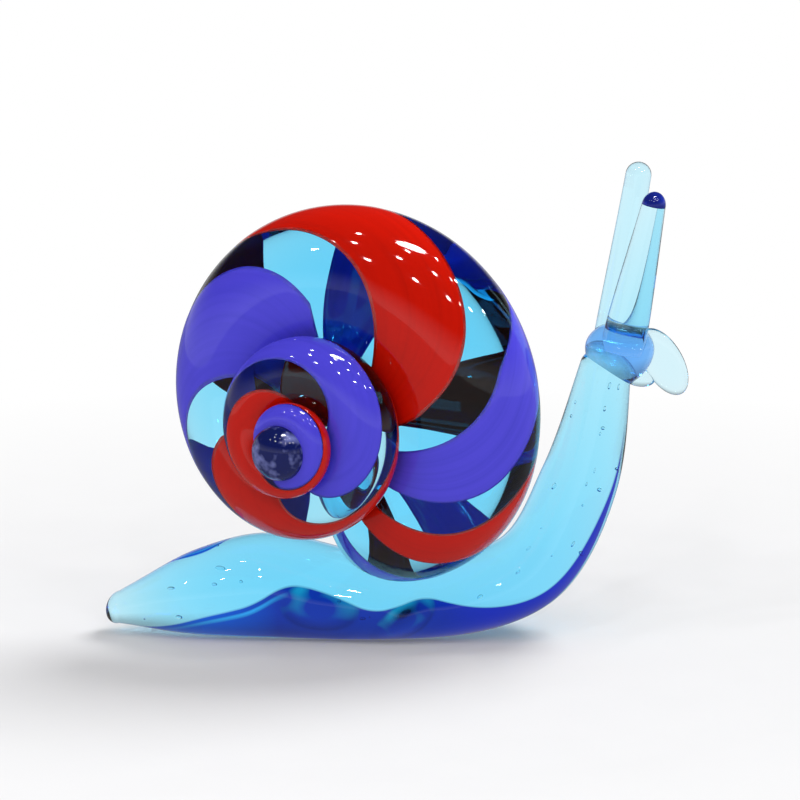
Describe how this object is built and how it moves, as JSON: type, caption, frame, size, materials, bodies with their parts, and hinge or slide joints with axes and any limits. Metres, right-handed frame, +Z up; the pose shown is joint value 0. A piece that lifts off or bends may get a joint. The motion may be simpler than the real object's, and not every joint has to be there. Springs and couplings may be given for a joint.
{
  "type": "glass snail ornament",
  "caption": "Lampworked glass snail with a wound shell of clear aqua cane striped red and violet, a clear aqua body, feelers with one dark tip and a pinched mouth.",
  "frame": {"origin": "on the flat sole, under the middle of the body's length", "axes": "+X the way the snail looks, +Z up, -Y towards the side that shows the shell's apex"},
  "size_m": [0.05, 0.0185, 0.0407],
  "materials": {
    "aqua_glass": "clear fire-polished glass, pale aqua blue",
    "blue_glass": "half-clear fire-polished glass, deeper blue",
    "cobalt_glass": "opaque fire-polished cobalt glass",
    "violet_glass": "opaque fire-polished violet blue glass",
    "red_glass": "opaque fire-polished scarlet glass"
  },
  "bodies": {
    "root": {"body": "aqua_glass", "shell_cane": "aqua_glass", "red_stripe": "red_glass", "violet_stripe": "violet_glass", "apex_bead": "cobalt_glass", "head": "blue_glass", "near_feeler": "aqua_glass", "far_feeler": "aqua_glass", "near_eye_tip": "cobalt_glass", "mouth_lobe": "aqua_glass", "mouth_bridge": "aqua_glass"}
  },
  "joints": []
}
